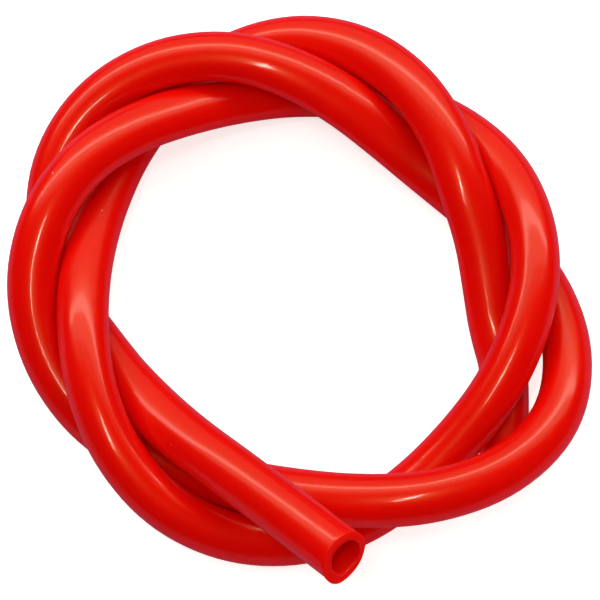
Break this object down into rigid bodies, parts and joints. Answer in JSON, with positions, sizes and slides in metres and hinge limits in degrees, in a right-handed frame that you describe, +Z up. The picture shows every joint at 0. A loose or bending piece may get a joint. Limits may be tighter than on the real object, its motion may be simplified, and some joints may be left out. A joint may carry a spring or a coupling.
{
  "type": "rubber vacuum tubing",
  "caption": "Length of smooth red rubber vacuum tubing, wound into a loose coil with one free end lying on top.",
  "frame": {"origin": "centre of the coil on the surface that it lies on", "axes": "+Z up, -Y towards the side where the free end lies, +X to the right when seen from that side"},
  "size_m": [0.1444, 0.1536, 0.0412],
  "materials": {
    "red_rubber": "gloss"
  },
  "bodies": {
    "root": {"tubing": "red_rubber"}
  },
  "joints": []
}
